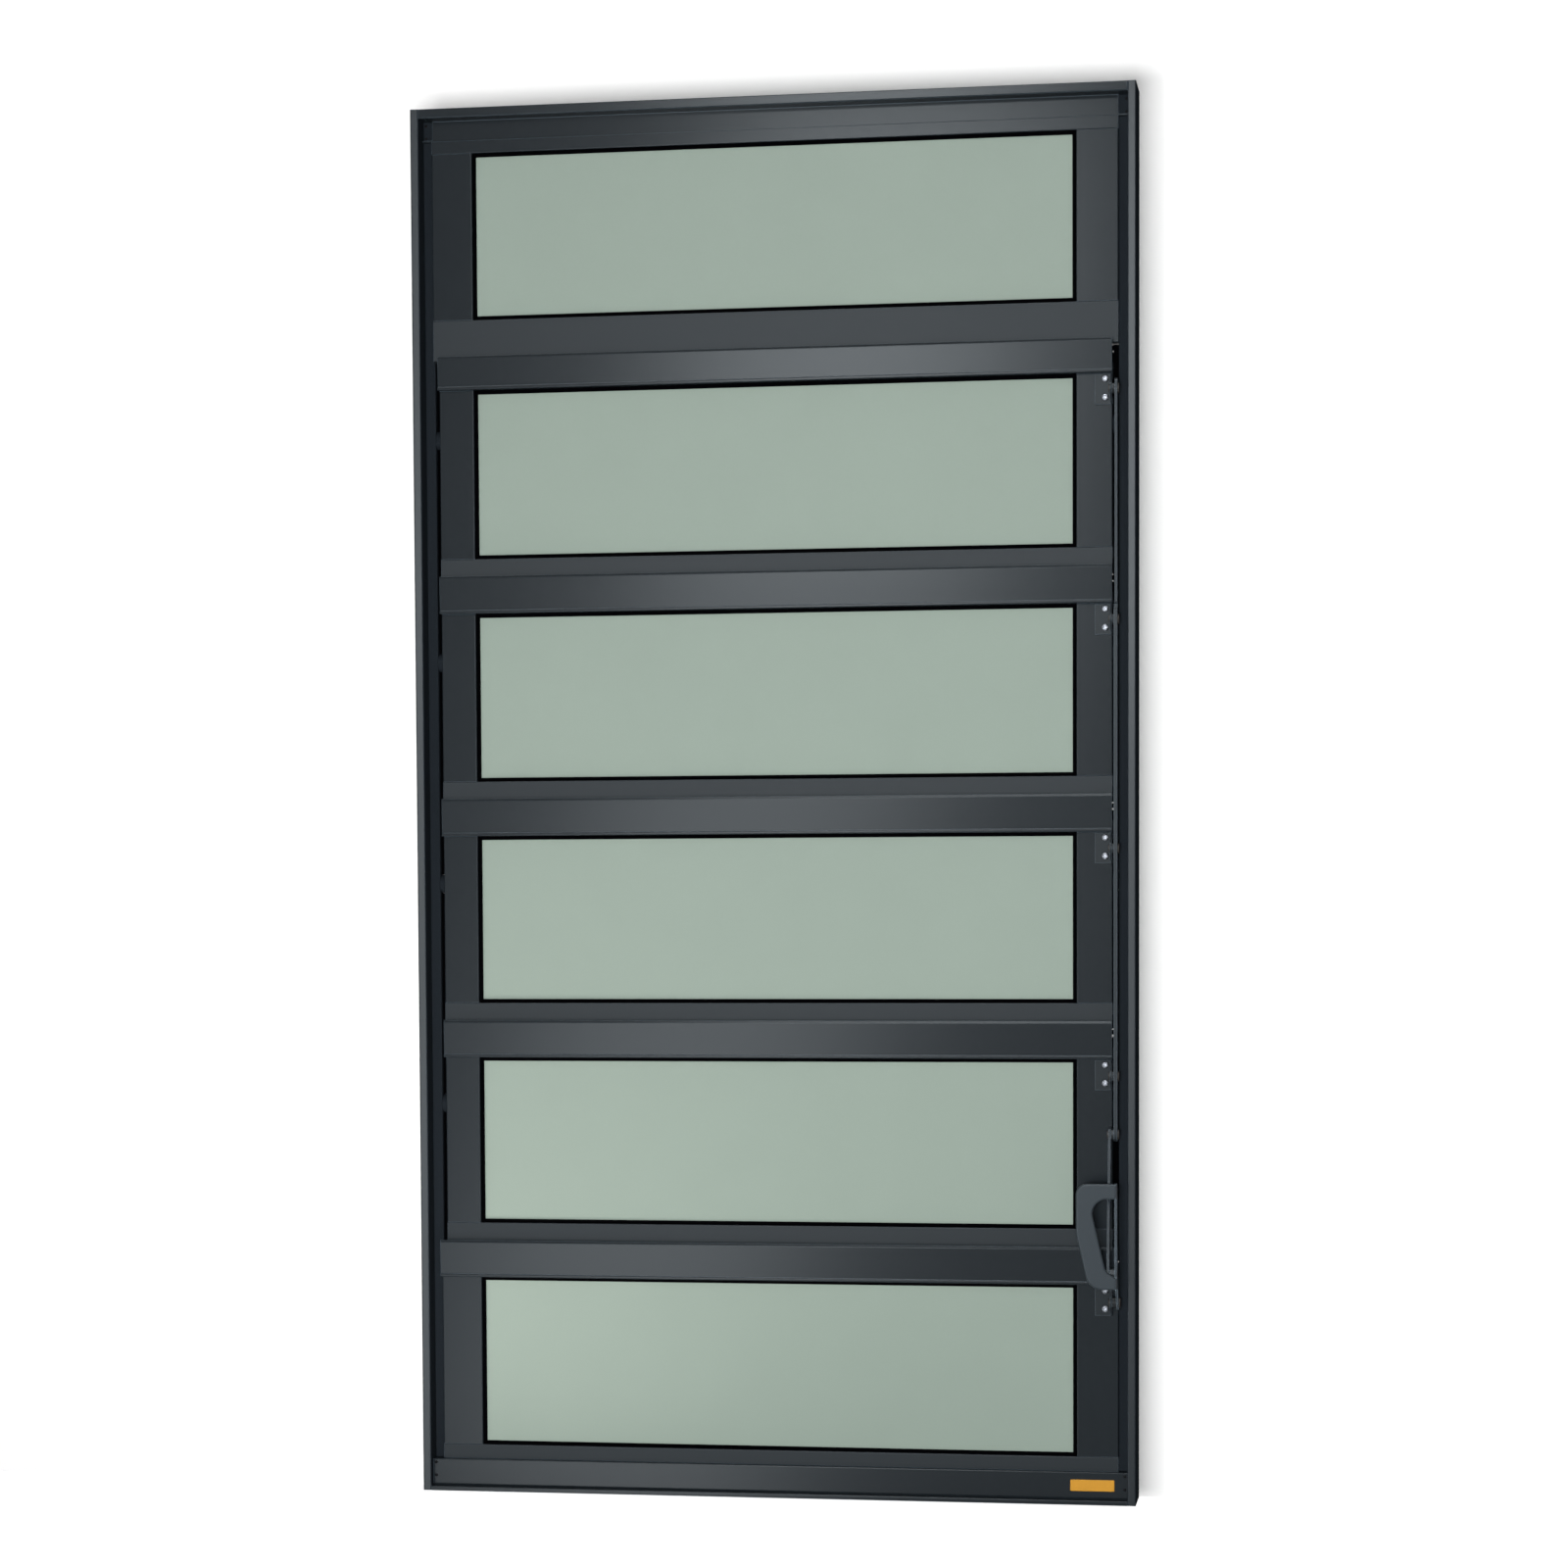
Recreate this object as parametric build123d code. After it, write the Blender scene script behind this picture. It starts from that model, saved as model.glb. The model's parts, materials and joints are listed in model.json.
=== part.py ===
"""Horizontal pivot window: six glazed lights in one frame, the middle four linked to a lever.

Millimetres. +X is to the right seen from the room, +Y is outdoors, +Z is up. The origin is
the middle of the sill's underside. The room side of the frame faces -Y.
"""
from build123d import *
import os

# Frame
FRAME_WIDTH = 625.0
FRAME_DEPTH = 46.0
WALL = 1.6                # wall of the frame's hollow sections
JAMB_LIP = 7.0            # width of the room-side lip on a jamb
LIP_BEVEL = 0.7           # bevel along a lip's inner edge
LIP_BEVEL_FALL = 1.0      # the bevel ends this far behind the frame's front
LIP_LEAN = 0.5            # a lip's front falls by this much towards its bevel
HEAD_LIP = 7.8
SILL_LIP = 3.9
LIP_DEPTH = 13.0          # the lip stands this far in front of the lights' faces
JAMB_SETBACK = 6.0        # a jamb's recessed face lies this far behind the lights' faces
HEAD_SETBACK = 3.0
HEAD_RIB = 1.6            # strip below the recess at each end of the head
SILL_FORWARD = 5.0        # the sill's face stands this far in front of the lights' faces
SILL_FOOT = 4.4           # lower edge of the sill's face, above the drain channel
JAMB_WIDTH = 15.5
HEAD_HEIGHT = 25.5
SILL_HEIGHT = 27.0
SILL_FALL = 6.0           # the sill's top slopes down by this much towards outdoors
SILL_LIP_THICKNESS = 2.0
JAMB_BODY_DEPTH = 11.5    # depth of the jamb's inner part, behind its recessed face
EDGE_ROUND = 0.8          # rounded arrises of every extrusion
WEEP_WIDTH = 30.0         # drain slots in the sill's outdoor face
WEEP_HEIGHT = 5.0
WEEP_SPACING = 400.0

# Lights
LIGHTS = (1, 2, 3, 4, 5, 6)
MOVING_LIGHTS = (2, 3, 4, 5)
LIGHT_PITCH = 193.0       # from one pivoting light to the next
RAIL_FACE = 32.5          # height of a top rail's face
LOWER_STRIP = 15.0        # the part of a bottom rail left in view above the next top rail
TOP_SIGHT = 143.0         # glazed height of the fixed top light
LOWEST_SIGHT = 148.5      # glazed height of the fixed bottom light
BOTTOM_STRIP = 12.5       # face of the lowest rail, above the sill
TOP_STRIP = 11.0          # face of the highest rail, below the head
TRANSOM_FACE = 31.5       # visible face of the fixed top light's bottom rail
UPPER_RAIL_FACE = 29.0    # top rail of the highest pivoting light, below that transom
UPPER_LAP = 3.5           # that rail's flange laps the transom by this much
STILE_WIDTH = 30.5
SASH_DEPTH = 24.0
SECTION_WALL = 1.5        # wall of the rails and stiles
SIDE_GAP = 5.0            # between a pivoting light and the jamb
FLANGE_GAP = 5.0          # between a top rail's flange and the bottom rail behind it
BOTTOM_RAIL_HEIGHT = 22.0
TOP_CHAMBER_HEIGHT = 18.5 # closed part of a top rail, below its flange
RAIL_LIP = 2.7            # upright lip along the lower edge of a top rail's face
RAIL_LEAN = 1.0           # the face above the lip leans back by this much towards it
RAIL_BEVEL = 2.2          # sloped upper edge of a top rail's flange
RAIL_BEVEL_FALL = 0.9

# Glazing
GLASS_THICKNESS = 4.0
GROOVE_DEPTH = 9.5        # of the glazing groove, from the sight line
GLASS_EDGE_COVER = 6.5    # the pane reaches this far behind the sight line
GASKET_THICKNESS = 1.7
GASKET_SIGHT = 3.3        # gasket left in view beside the glass
GASKET_COVER = 4.5        # gasket held behind the glazing fin

# Pivots and stops
PIVOT_BELOW_BRACKET = 27.0
PIVOT_SETBACK = 12.0      # pivot axis behind the stile's face
PIVOT_DIAMETER = 8.0
PIVOT_CLEARANCE = 0.05
PIVOT_REACH = 13.0        # length of a pivot outside the stile
BOSS_DIAMETER = 16.0
BOSS_CLEARANCE = 0.4
STOP_START = 12.0         # a jamb's stop begins this far above the pivot
FIN_START = 10.0          # a stile's outer fin ends this far below the pivot
STOP_THICKNESS = 2.0
STOP_REACH = 11.5         # a stop reaches this far past the jamb
FIN_REACH = 8.5           # a fin reaches this far past the stile
SEAL_THICKNESS = 2.0      # rubber blade on the jamb that closes the side gap
SEAL_CLEARANCE = 0.5      # blade to the passing stile, and to the rails at its ends
SEAL_BOSS_GAP = 0.15
SEAL_TAB_REACH = 5.0      # a tab reaches this far between two lights' rails
SEAL_TAB_START = 1.7      # above the lower light's top rail, clear of its turning corner
SEAL_TAB_HEIGHT = 4.2

# Brackets and linkage
BRACKET_WIDTH = 13.4
BRACKET_HEIGHT = 25.5
BRACKET_SHEET = 1.8
BRACKET_TOP_GAP = 1.0
EAR_OFFSET = 0.4          # outside of the ear beyond the stile's outer edge
EAR_NOSE = 6.0            # radius of the ear's nose round its pin
LINK_PIN_DROP = 14.2      # linkage pin below the sight line
LINK_PIN_FORWARD = 10.0   # linkage pin in front of the stile's face
LINK_PIN_DIAMETER = 5.0
LINK_PIN_CLEARANCE = 0.08
INNER_HEAD_DIAMETER = 6.6
OUTER_HEAD_DIAMETER = 8.6
COLLAR_DIAMETER = 9.0
PIN_HEAD_THICKNESS = 1.2
BAR_THICKNESS = 3.0
BAR_DEPTH = 12.0
BAR_OFFSET = 2.1          # bar beyond the stile's outer edge
BAR_TOP_END = 8.5
BAR_TAIL = 49.5           # from the lowest bracket pin to the connecting link's pin
BAR_BOTTOM_END = 6.0
SPLICE_RISE = 8.5         # the bar's two lengths meet this far above light 3's pin
SPLICE_GAP = 4.0          # front edge set back between the two lengths
SPLICE_DEPTH = 4.0
SPLICE_ROUND = 1.8
UPPER_BAR_STEP = 0.8      # the upper length is this much thinner
LINK_THICKNESS = 2.2
LINK_SPACER = 2.4         # collar between the connecting link and the bar
LEVER_WIDTH = 13.0
LEVER_THICKNESS = 1.8
LEVER_SPACER = 4.0        # collar between the light 6 bracket's ear and the lever
GRIP_FORWARD = 30.2       # back of the grip in front of the lever's pivot
GRIP_WIDTH = 34.2
GRIP_THICKNESS = 3.0
GRIP_EDGE_ROUND = 1.6
GRIP_BOTTOM = 14.2        # grip's lower edge above the lever's pivot
GRIP_HEIGHT = 89.6
GRIP_TOP_ARM = 13.1
GRIP_BOTTOM_ARM = 9.5
GRIP_ARM_RISE = 6.2       # the bottom arm's upper edge rises this much towards the limb
GRIP_LIMB = 17.7          # width of the leaning limb, measured level
GRIP_BEND_RISE = 47.0     # the limb is upright above this height and leans in below it
GRIP_FOOT = 10.9          # the leaning limb's outer edge has come in this far at the bottom
GRIP_TOP_ROUND = 9.2
GRIP_FOOT_ROUND = 14.0
GRIP_INNER_ROUND = 12.0
GRIP_ARM_ROUND = 8.0
GRIP_BEND_ROUND = 40.0

# Limits of the drawing
PAST = 1.0                # cutters reach this far past what they cut
SAME_PLACE = 1e-6

# Places worked out from the sizes above
HALF_WIDTH = FRAME_WIDTH / 2
FRONT = -FRAME_DEPTH / 2
BACK = FRAME_DEPTH / 2
FACE = FRONT + LIP_DEPTH                    # stiles and bottom rails
RECESS = FACE + JAMB_SETBACK
HEAD_FACE = FACE + HEAD_SETBACK
SILL_FACE = FACE - SILL_FORWARD
LIP_EDGE = HALF_WIDTH - JAMB_LIP
JAMB_EDGE = HALF_WIDTH - JAMB_WIDTH
SASH_EDGE = JAMB_EDGE - SIDE_GAP
SIGHT_EDGE = SASH_EDGE - STILE_WIDTH        # metal edge beside the glass
SIGHT_HEIGHT = LIGHT_PITCH - RAIL_FACE - LOWER_STRIP
GLASS_FRONT = FACE + SECTION_WALL + GASKET_THICKNESS
GLASS_BACK = GLASS_FRONT + GLASS_THICKNESS
REAR_FIN_FRONT = GLASS_BACK + GASKET_THICKNESS
REAR_FIN_BACK = REAR_FIN_FRONT + SECTION_WALL
SASH_BACK = FACE + SASH_DEPTH
FLANGE_BACK = FACE - FLANGE_GAP
FLANGE_FRONT = FLANGE_BACK - SECTION_WALL
PIVOT_Y = FACE + PIVOT_SETBACK
PIN_Y = FACE - LINK_PIN_FORWARD
CRANK_FORWARD = PIVOT_SETBACK + LINK_PIN_FORWARD    # every crank is equal and parallel


def sight_bottom(light):
    """Height of the lower sight line of a light, 1 at the top to 6 at the bottom."""
    if light == 6:
        return SILL_HEIGHT + BOTTOM_STRIP
    if light == 1:
        return sight_top(2) + UPPER_RAIL_FACE + TRANSOM_FACE
    return sight_top(6) + RAIL_FACE + LOWER_STRIP + (5 - light) * LIGHT_PITCH


def sight_top(light):
    """Height of the upper sight line of a light."""
    heights = {1: TOP_SIGHT, 6: LOWEST_SIGHT}
    return sight_bottom(light) + heights.get(light, SIGHT_HEIGHT)


FRAME_HEIGHT = sight_top(1) + TOP_STRIP + HEAD_HEIGHT
HEAD_EDGE = FRAME_HEIGHT - HEAD_HEIGHT
TRANSOM_LOW = sight_top(2) + UPPER_RAIL_FACE - UPPER_LAP


def link_pin_z(light):
    return sight_top(light) - LINK_PIN_DROP


def pivot_z(light):
    return link_pin_z(light) - PIVOT_BELOW_BRACKET


EAR_OUTER = SASH_EDGE + EAR_OFFSET
EAR_INNER = EAR_OUTER - BRACKET_SHEET
BAR_INNER = SASH_EDGE + BAR_OFFSET
BAR_OUTER = BAR_INNER + BAR_THICKNESS
UPPER_BAR_INNER = BAR_INNER + UPPER_BAR_STEP
LINK_OUTER = BAR_INNER - LINK_SPACER
LINK_INNER = LINK_OUTER - LINK_THICKNESS
LEVER_INNER = EAR_OUTER + LEVER_SPACER
LEVER_OUTER = LEVER_INNER + LEVER_THICKNESS
LEVER_PIVOT_Z = link_pin_z(6)
CRANK_PIN = (PIN_Y - CRANK_FORWARD, LEVER_PIVOT_Z + PIVOT_BELOW_BRACKET)
BAR_END_PIN = (PIN_Y, link_pin_z(5) - BAR_TAIL)


def round_corners(face, places, radius=EDGE_ROUND):
    """Round the corners of a face that lie at the given places."""
    corners = [v for v in face.vertices()
               if any(abs(v.X - x) + abs(v.Y - y) < SAME_PLACE for x, y in places)]
    return fillet(corners, radius)


def outline(points, rounded=(), radius=EDGE_ROUND):
    """Closed face in the XY plane, with some of its corners rounded."""
    face = make_face(Polyline(*points, close=True))
    return round_corners(face, rounded, radius) if rounded else face


def along_z(face, low, high):
    """Extrude a face drawn in plan (x, y) between two heights."""
    return Pos(0, 0, low) * extrude(face, high - low)


def along_x(face, left, right):
    """Extrude a face drawn in side view (y, z) between two places across the window."""
    side = Plane(origin=(left, 0, 0), x_dir=(0, 1, 0), z_dir=(1, 0, 0))
    return extrude(side * face, right - left)


def rectangle(low, high):
    """Corner points of a rectangle."""
    return [(low[0], low[1]), (high[0], low[1]), (high[0], high[1]), (low[0], high[1])]


def pin(y, z, diameter, left, right):
    """Round pin across the window."""
    return along_x(Pos(y, z) * Circle(diameter / 2), left, right)


def mirrored(solid):
    return mirror(solid, about=Plane.YZ)


def side_pair(right):
    """A right-hand shape and its mirror image on the left."""
    return Compound(list(right.solids()) + list(mirrored(right).solids()))


def link_face(start, end, depth, start_end, stop_end):
    """Side view of a flat link between two pins, with rounded ends past them."""
    run = Vector(end[0] - start[0], end[1] - start[1])
    unit = run.normalized()
    first = Vector(*start) - unit * (start_end - depth / 2)
    last = Vector(*end) + unit * (stop_end - depth / 2)
    angle = Vector(1, 0).get_signed_angle(unit, Vector(0, 0, 1))
    middle = (first + last) * 0.5
    return Pos(middle.X, middle.Y) * Rot(0, 0, angle) * SlotCenterToCenter((last - first).length, depth)


def pin_hole(y, z, left, right):
    """Hole for a linkage pin, cut a little past both faces."""
    return pin(y, z, LINK_PIN_DIAMETER + 2 * LINK_PIN_CLEARANCE, left - PAST, right + PAST)


def jamb():
    """Right jamb: a lip towards the room, a recessed inner part, and stops above the pivots."""
    inner_back = RECESS + JAMB_BODY_DEPTH
    section = outline(
        [(HALF_WIDTH, FRONT), (LIP_EDGE + LIP_BEVEL, FRONT + LIP_LEAN), (LIP_EDGE, FRONT + LIP_BEVEL_FALL),
         (LIP_EDGE, RECESS), (JAMB_EDGE, RECESS), (JAMB_EDGE, inner_back), (LIP_EDGE, inner_back),
         (LIP_EDGE, BACK), (HALF_WIDTH, BACK)],
        rounded=[(HALF_WIDTH, FRONT), (JAMB_EDGE, RECESS)])
    chamber = outline(
        [(HALF_WIDTH - WALL, FRONT + WALL), (LIP_EDGE + WALL, FRONT + WALL),
         (LIP_EDGE + WALL, RECESS + WALL), (JAMB_EDGE + WALL, RECESS + WALL),
         (JAMB_EDGE + WALL, inner_back - WALL), (LIP_EDGE + WALL, inner_back - WALL),
         (LIP_EDGE + WALL, BACK - WALL), (HALF_WIDTH - WALL, BACK - WALL)])
    body = along_z(section, 0, FRAME_HEIGHT)
    cope = outline(rectangle((JAMB_EDGE - PAST, FRONT - PAST), (LIP_EDGE, BACK + PAST)))
    body -= along_z(cope, HEAD_EDGE, FRAME_HEIGHT + PAST)
    body -= along_z(cope, -PAST, SILL_HEIGHT)
    body -= along_z(chamber, SILL_HEIGHT + WALL, HEAD_EDGE - WALL)
    stop_front = SASH_BACK + SIDE_GAP
    stop = outline(rectangle((JAMB_EDGE - STOP_REACH, stop_front),
                             (LIP_EDGE + WALL, stop_front + STOP_THICKNESS)))
    bore = PIVOT_DIAMETER + 2 * PIVOT_CLEARANCE
    for light in MOVING_LIGHTS:
        body += along_z(stop, pivot_z(light) + STOP_START, sight_top(light) + TOP_CHAMBER_HEIGHT)
        body -= pin(PIVOT_Y, pivot_z(light), bore, JAMB_EDGE - PAST, LIP_EDGE + WALL)
    return body


def side_seal():
    """Rubber blades on the right jamb, from pivot to pivot, with tabs between the lights' rails."""
    low = sight_top(6) + TOP_CHAMBER_HEIGHT + SEAL_CLEARANCE
    plan = outline(rectangle((SASH_EDGE + SEAL_CLEARANCE, PIVOT_Y - SEAL_THICKNESS / 2),
                             (JAMB_EDGE, PIVOT_Y + SEAL_THICKNESS / 2)))
    blades = along_z(plan, low, TRANSOM_LOW - SEAL_CLEARANCE)
    for light in MOVING_LIGHTS:
        blades -= pin(PIVOT_Y, pivot_z(light), BOSS_DIAMETER + 2 * SEAL_BOSS_GAP, SASH_EDGE, JAMB_EDGE)
    tab = outline(rectangle((SASH_EDGE - SEAL_TAB_REACH, PIVOT_Y - SEAL_THICKNESS / 2),
                            (JAMB_EDGE, PIVOT_Y + SEAL_THICKNESS / 2)))
    for light in LIGHTS[1:]:
        start = sight_top(light) + TOP_CHAMBER_HEIGHT + SEAL_TAB_START
        blades += along_z(tab, start, start + SEAL_TAB_HEIGHT)
    return blades


def head():
    """Head: hollow section between the jambs' lips, with its own lip and a recess at each end."""
    lip_low = FRAME_HEIGHT - HEAD_LIP
    section = outline(
        [(FRONT, FRAME_HEIGHT), (FRONT + LIP_LEAN, lip_low + LIP_BEVEL), (FRONT + LIP_BEVEL_FALL, lip_low),
         (HEAD_FACE, lip_low), (HEAD_FACE, HEAD_EDGE), (BACK, HEAD_EDGE), (BACK, FRAME_HEIGHT)],
        rounded=[(FRONT, FRAME_HEIGHT), (HEAD_FACE, HEAD_EDGE)])
    chamber = outline(
        [(FRONT + WALL, FRAME_HEIGHT - WALL), (FRONT + WALL, lip_low + WALL),
         (HEAD_FACE + WALL, lip_low + WALL), (HEAD_FACE + WALL, HEAD_EDGE + WALL),
         (BACK - WALL, HEAD_EDGE + WALL), (BACK - WALL, FRAME_HEIGHT - WALL)])
    recess = outline(rectangle((HEAD_FACE - PAST, HEAD_EDGE + HEAD_RIB), (RECESS, lip_low)))
    recess_wall = outline(rectangle((HEAD_FACE, HEAD_EDGE), (RECESS + WALL, lip_low + WALL)))
    hollow = along_x(chamber, WALL - LIP_EDGE, LIP_EDGE - WALL)
    hollow -= side_pair(along_x(recess_wall, JAMB_EDGE - WALL, LIP_EDGE))
    return along_x(section, -LIP_EDGE, LIP_EDGE) - hollow - side_pair(along_x(recess, JAMB_EDGE, LIP_EDGE + PAST))


def sill():
    """Sill: a hollow body that falls outwards, a drain channel behind its lip, and weep slots."""
    section = outline(
        [(FACE, 0), (FACE, SILL_FOOT), (SILL_FACE, SILL_FOOT), (SILL_FACE, SILL_HEIGHT),
         (SASH_BACK, SILL_HEIGHT), (BACK, SILL_HEIGHT - SILL_FALL), (BACK, 0)],
        rounded=[(SILL_FACE, SILL_FOOT), (SILL_FACE, SILL_HEIGHT)])
    chamber = outline(
        [(FACE + WALL, WALL), (FACE + WALL, SILL_FOOT + WALL), (SILL_FACE + WALL, SILL_FOOT + WALL),
         (SILL_FACE + WALL, SILL_HEIGHT - WALL), (SASH_BACK - WALL, SILL_HEIGHT - WALL),
         (BACK - WALL, SILL_HEIGHT - SILL_FALL - WALL), (BACK - WALL, WALL)])
    body = along_x(section, -LIP_EDGE, LIP_EDGE) - along_x(chamber, WALL - LIP_EDGE, LIP_EDGE - WALL)
    outdoors = Plane(origin=(0, BACK - WALL - PAST, 0), x_dir=(-1, 0, 0), z_dir=(0, 1, 0))
    for side in (-1, 1):
        slot = Pos(side * WEEP_SPACING / 2, WALL + WEEP_HEIGHT / 2) * SlotOverall(WEEP_WIDTH, WEEP_HEIGHT)
        body -= extrude(outdoors * slot, WALL + 2 * PAST)
    channel = outline(
        [(FRONT, 0), (FRONT, SILL_LIP), (FRONT + SILL_LIP_THICKNESS, SILL_LIP),
         (FRONT + SILL_LIP_THICKNESS, WALL), (FACE, WALL), (FACE, 0)],
        rounded=[(FRONT, SILL_LIP)])
    return body + along_x(channel, -LIP_EDGE, LIP_EDGE)


def glazing_fins(sight, inward):
    """Front and rear fins of the glazing groove, drawn in (y, z); inward is +1 above the glass."""
    far = sight + inward * GROOVE_DEPTH
    low, high = min(sight, far), max(sight, far)
    front = outline(rectangle((FACE, low), (FACE + SECTION_WALL, high)))
    rear = outline(rectangle((REAR_FIN_FRONT, low), (REAR_FIN_BACK, high)))
    return front + rear


def flanged_top_rail(light, half_length, face_height):
    """Top rail whose face stands forward and whose flange laps the bottom rail above it."""
    sight = sight_top(light)
    top = sight + face_height
    lip_top = sight + RAIL_LIP
    chamber_top = sight + TOP_CHAMBER_HEIGHT
    bevel_foot = top - RAIL_BEVEL
    lean_to_chamber = RAIL_LEAN * (bevel_foot - chamber_top) / (bevel_foot - lip_top)
    cavity_front = FLANGE_BACK + RAIL_LEAN
    section = outline(
        [(FLANGE_FRONT, sight), (FLANGE_FRONT, lip_top), (FLANGE_FRONT + RAIL_LEAN, lip_top),
         (FLANGE_FRONT, bevel_foot), (FLANGE_FRONT + RAIL_BEVEL_FALL, top), (FLANGE_BACK, top),
         (FLANGE_BACK + lean_to_chamber, chamber_top),
         (SASH_BACK, chamber_top), (SASH_BACK, sight + GROOVE_DEPTH),
         (FACE + SECTION_WALL, sight + GROOVE_DEPTH), (FACE + SECTION_WALL, sight)],
        rounded=[(FLANGE_FRONT, sight), (FLANGE_FRONT, lip_top)])
    rear_fin = outline(rectangle((REAR_FIN_FRONT, sight), (REAR_FIN_BACK, sight + GROOVE_DEPTH)))
    chamber = outline(rectangle((cavity_front, sight + GROOVE_DEPTH + SECTION_WALL),
                                (SASH_BACK - SECTION_WALL, chamber_top - SECTION_WALL)))
    nose = outline(rectangle((cavity_front, sight + SECTION_WALL),
                             (FACE, sight + GROOVE_DEPTH + SECTION_WALL)))
    inner = half_length - SECTION_WALL
    hollow = along_x(chamber, -inner, inner) + along_x(nose, -inner, inner)
    return along_x(section + rear_fin, -half_length, half_length) - hollow


def boxed_rail(sight, low, half_length):
    """Rail with a closed chamber below its glazing groove."""
    groove = sight - GROOVE_DEPTH
    section = outline(rectangle((FACE, low), (SASH_BACK, groove))) + glazing_fins(sight, -1)
    section = round_corners(section, [(FACE, sight), (FACE, low)])
    chamber = outline(rectangle((FACE + SECTION_WALL, low + SECTION_WALL),
                                (SASH_BACK - SECTION_WALL, groove - SECTION_WALL)))
    inner = half_length - SECTION_WALL
    return along_x(section, -half_length, half_length) - along_x(chamber, -inner, inner)


def bottom_rail(light):
    """Bottom rail of a pivoting light, with fins that close the gap at its two ends."""
    sight = sight_bottom(light)
    low = sight - BOTTOM_RAIL_HEIGHT
    groove = sight - GROOVE_DEPTH
    fin = outline(rectangle((SASH_BACK - SECTION_WALL, low), (SASH_BACK, groove)))
    fin_end = outline(rectangle((SASH_BACK - SECTION_WALL, groove), (SASH_BACK, sight)))
    reach = SASH_EDGE + FIN_REACH
    rail = boxed_rail(sight, low, SASH_EDGE) + along_x(fin, -reach, reach)
    return rail + side_pair(along_x(fin_end, SASH_EDGE - SECTION_WALL, reach))


def channel_rail(sight, seat, inward):
    """Shallow glazing channel of a fixed light, seated on the head or the sill."""
    web = sight + inward * GROOVE_DEPTH
    low, high = min(web, seat), max(web, seat)
    section = outline(rectangle((FACE, low), (SASH_BACK, high))) + glazing_fins(sight, inward)
    return along_x(round_corners(section, [(FACE, sight)]), -JAMB_EDGE, JAMB_EDGE)


def stile(light):
    """Right stile between the rails, with a closed chamber and a glazing groove."""
    low, high = sight_bottom(light), sight_top(light)
    pivoting = light in MOVING_LIGHTS
    outer = SASH_EDGE if pivoting else JAMB_EDGE
    groove = SIGHT_EDGE + GROOVE_DEPTH
    face = outline([(groove, FACE + SECTION_WALL), (SIGHT_EDGE, FACE + SECTION_WALL), (SIGHT_EDGE, FACE),
                    (outer, FACE), (outer, SASH_BACK), (groove, SASH_BACK)],
                   rounded=[(SIGHT_EDGE, FACE), (outer, FACE)])
    rear_fin = outline(rectangle((SIGHT_EDGE, REAR_FIN_FRONT), (groove, REAR_FIN_BACK)))
    chamber = outline(rectangle((groove + SECTION_WALL, FACE + SECTION_WALL),
                                (outer - SECTION_WALL, SASH_BACK - SECTION_WALL)))
    body = along_z(face + rear_fin, low, high)
    body -= along_z(chamber, low + SECTION_WALL, high - SECTION_WALL)
    if pivoting:
        z = pivot_z(light)
        fin = outline(rectangle((outer - SECTION_WALL, SASH_BACK - SECTION_WALL),
                                (outer + FIN_REACH, SASH_BACK)))
        body += along_z(fin, low, z - FIN_START)
        body += pin(PIVOT_Y, z, BOSS_DIAMETER, outer - SECTION_WALL, JAMB_EDGE - BOSS_CLEARANCE)
        body += pin(PIVOT_Y, z, PIVOT_DIAMETER, outer - SECTION_WALL, outer + PIVOT_REACH)
    return body


def pane(light):
    """Glass pane, held in the grooves on all four sides."""
    low = sight_bottom(light) - GLASS_EDGE_COVER
    high = sight_top(light) + GLASS_EDGE_COVER
    half = SIGHT_EDGE + GLASS_EDGE_COVER
    return along_z(outline(rectangle((-half, GLASS_FRONT), (half, GLASS_BACK))), low, high)


def gasket(light):
    """Rubber rings that hold the pane, one on each face of the glass."""
    half = SIGHT_EDGE + GASKET_COVER
    inner = SIGHT_EDGE - GASKET_SIGHT
    low, high = sight_bottom(light), sight_top(light)
    rings = []
    for front in (GLASS_FRONT - GASKET_THICKNESS, GLASS_BACK):
        back = front + GASKET_THICKNESS
        blank = along_z(outline(rectangle((-half, front), (half, back))),
                        low - GASKET_COVER, high + GASKET_COVER)
        hole = along_z(outline(rectangle((-inner, front - PAST), (inner, back + PAST))),
                       low + GASKET_SIGHT, high - GASKET_SIGHT)
        rings += (blank - hole).solids()
    return Compound(list(rings))


def bracket(light, carried_inner, carried_outer):
    """Angle bracket on the right stile: a plate, an ear that narrows round its pin, and the pin."""
    z = link_pin_z(light)
    top = sight_top(light) - BRACKET_TOP_GAP
    low = top - BRACKET_HEIGHT
    plate_front = FACE - BRACKET_SHEET
    plan = outline(rectangle((EAR_INNER - BRACKET_WIDTH, plate_front), (EAR_OUTER, FACE)),
                   rounded=[(EAR_OUTER, FACE)])
    root = Line((plate_front, low), (plate_front, top))
    nose = Pos(PIN_Y, z) * Circle(EAR_NOSE)
    ear = make_hull(nose.edges() + root.edges())
    body = along_z(plan, low, top) + along_x(ear, EAR_INNER, EAR_OUTER)
    body += pin(PIN_Y, z, INNER_HEAD_DIAMETER, EAR_INNER - PIN_HEAD_THICKNESS, EAR_INNER)
    body += pin(PIN_Y, z, COLLAR_DIAMETER, EAR_OUTER, carried_inner - LINK_PIN_CLEARANCE)
    pin_end = carried_outer + LINK_PIN_CLEARANCE
    body += pin(PIN_Y, z, LINK_PIN_DIAMETER, EAR_INNER, pin_end)
    return body + pin(PIN_Y, z, OUTER_HEAD_DIAMETER, pin_end, pin_end + PIN_HEAD_THICKNESS)


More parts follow.
